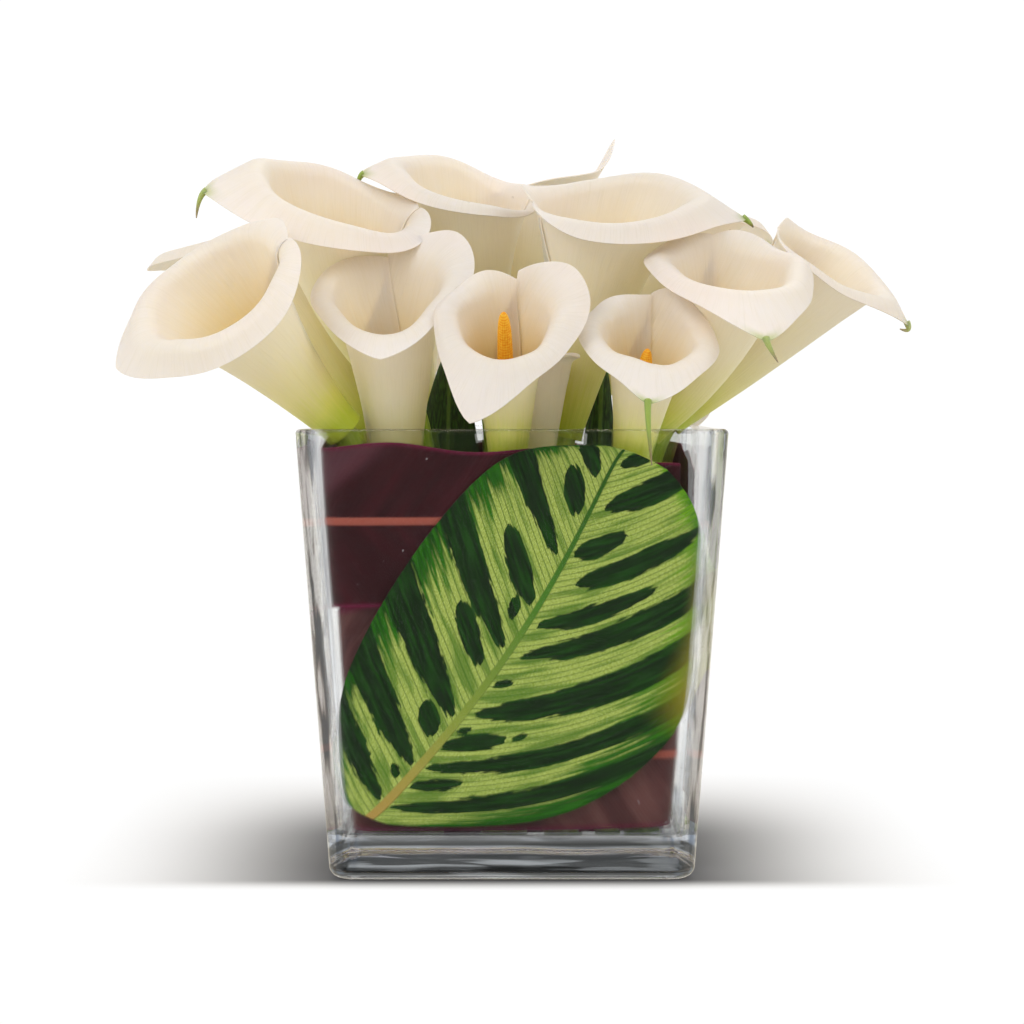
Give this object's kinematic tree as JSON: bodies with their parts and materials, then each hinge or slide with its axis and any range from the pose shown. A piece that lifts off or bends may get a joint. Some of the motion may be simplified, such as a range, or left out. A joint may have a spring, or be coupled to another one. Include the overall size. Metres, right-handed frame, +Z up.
{
  "type": "calla lilies in a vase",
  "caption": "Bouquet of white calla lilies standing in a square tapered glass vase lined with dark and patterned leaves, with water in the bottom.",
  "frame": {"origin": "centre of the vase's foot, on the surface it stands on", "axes": "+Z up; the front of the arrangement, where the patterned leaf shows, faces -Y"},
  "size_m": [0.2885, 0.2149, 0.2751],
  "materials": {
    "glass": "clear, polished",
    "water": "clear liquid",
    "spathe": "smooth and waxy, cream white",
    "stem": "smooth, light green",
    "spadix": "granular, golden yellow",
    "dark_leaf": "satin, burgundy",
    "patterned_leaf": "satin, dark green blotches on pale green",
    "green_leaf": "satin, dark green"
  },
  "bodies": {
    "root": {"glass_vase": "glass", "water": "water", "dark_leaf_upper": "dark_leaf", "dark_leaf_lower": "dark_leaf", "patterned_leaf_front": "patterned_leaf", "narrow_leaf_left": "green_leaf", "narrow_leaf_right": "green_leaf", "calla_01_stem": "stem", "calla_01_spathe": "spathe", "calla_01_spadix": "spadix", "calla_02_stem": "stem", "calla_02_spathe": "spathe", "calla_02_spadix": "spadix", "calla_03_stem": "stem", "calla_03_spathe": "spathe", "calla_03_spadix": "spadix", "calla_04_stem": "stem", "calla_04_spathe": "spathe", "calla_04_spadix": "spadix", "calla_05_stem": "stem", "calla_05_spathe": "spathe", "calla_05_spadix": "spadix", "calla_06_stem": "stem", "calla_06_spathe": "spathe", "calla_06_spadix": "spadix", "calla_07_stem": "stem", "calla_07_spathe": "spathe", "calla_07_spadix": "spadix", "calla_08_stem": "stem", "calla_08_spathe": "spathe", "calla_08_spadix": "spadix", "calla_09_stem": "stem", "calla_09_spathe": "spathe", "calla_09_spadix": "spadix", "calla_10_stem": "stem", "calla_10_spathe": "spathe", "calla_10_spadix": "spadix", "calla_11_stem": "stem", "calla_11_spathe": "spathe", "calla_11_spadix": "spadix", "calla_12_stem": "stem", "calla_12_spathe": "spathe", "calla_12_spadix": "spadix", "calla_13_stem": "stem", "calla_13_spathe": "spathe", "calla_13_spadix": "spadix", "calla_14_stem": "stem", "calla_14_spathe": "spathe", "calla_14_spadix": "spadix", "calla_15_stem": "stem", "calla_15_spathe": "spathe", "calla_15_spadix": "spadix", "calla_16_stem": "stem", "calla_16_spathe": "spathe", "calla_16_spadix": "spadix"}
  },
  "joints": []
}
